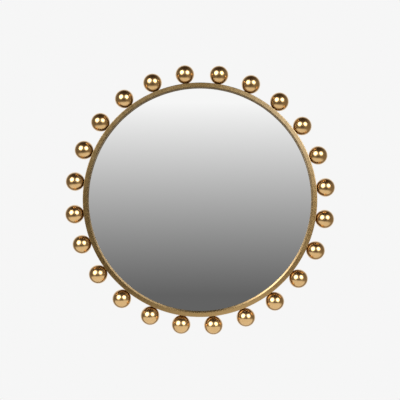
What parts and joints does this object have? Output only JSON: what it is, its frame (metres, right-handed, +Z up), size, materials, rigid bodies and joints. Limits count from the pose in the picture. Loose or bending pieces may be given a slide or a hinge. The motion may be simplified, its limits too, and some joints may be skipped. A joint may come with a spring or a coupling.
{
  "type": "girandole mirror",
  "caption": "Round flat wall mirror in a thin gold metal hoop ringed by separate hollow metal balls, hung by swinging D-rings on its back.",
  "frame": {"origin": "centre of the mirror's circle, on the plane of the wall that it hangs on", "axes": "+Z up, +Y into the wall; the mirror faces -Y, and +X is to the right seen from the front"},
  "size_m": [0.7319, 0.0516, 0.7314],
  "materials": {
    "gold_ball": "antique gold, satin polished",
    "gold_hoop": "antique gold leaf, finely mottled, satin",
    "silvered_glass": "polished flat mirror",
    "fibreboard": "raw brown fibreboard",
    "foam_tape": "matte foam",
    "plain_steel": "turned",
    "zinc_steel": "bright zinc plated",
    "black_rubber": "matte moulded"
  },
  "bodies": {
    "mirror": {"hoop_frame": "gold_hoop", "ball_01": "gold_ball", "ball_02": "gold_ball", "ball_03": "gold_ball", "ball_04": "gold_ball", "ball_05": "gold_ball", "ball_06": "gold_ball", "ball_07": "gold_ball", "ball_08": "gold_ball", "ball_09": "gold_ball", "ball_10": "gold_ball", "ball_11": "gold_ball", "ball_12": "gold_ball", "ball_13": "gold_ball", "ball_14": "gold_ball", "ball_15": "gold_ball", "ball_16": "gold_ball", "ball_17": "gold_ball", "ball_18": "gold_ball", "ball_19": "gold_ball", "ball_20": "gold_ball", "ball_21": "gold_ball", "ball_22": "gold_ball", "ball_23": "gold_ball", "ball_24": "gold_ball", "ball_bushes": "plain_steel", "ball_screws": "zinc_steel", "glazing_tape": "foam_tape", "mirror_glass": "silvered_glass", "backing_board": "fibreboard", "retaining_lugs": "gold_hoop", "lug_screws": "zinc_steel", "hanger_strap_left": "zinc_steel", "hanger_strap_right": "zinc_steel", "hanger_screws": "zinc_steel", "wall_bumpers": "black_rubber", "bumper_screws": "zinc_steel"},
    "d_ring_left": {"d_ring_left": "zinc_steel"},
    "d_ring_right": {"d_ring_right": "zinc_steel"}
  },
  "joints": [
    {"name": "d_ring_left_swing", "type": "hinge", "parent": "mirror", "child": "d_ring_left", "pos_m": [-0.19, -0.01724, 0.13], "axis": [1, 0, 0], "range_deg": [-1.5, 181.5]},
    {"name": "d_ring_right_swing", "type": "hinge", "parent": "mirror", "child": "d_ring_right", "pos_m": [0.19, -0.01724, 0.13], "axis": [1, 0, 0], "range_deg": [-1.5, 181.5]}
  ]
}
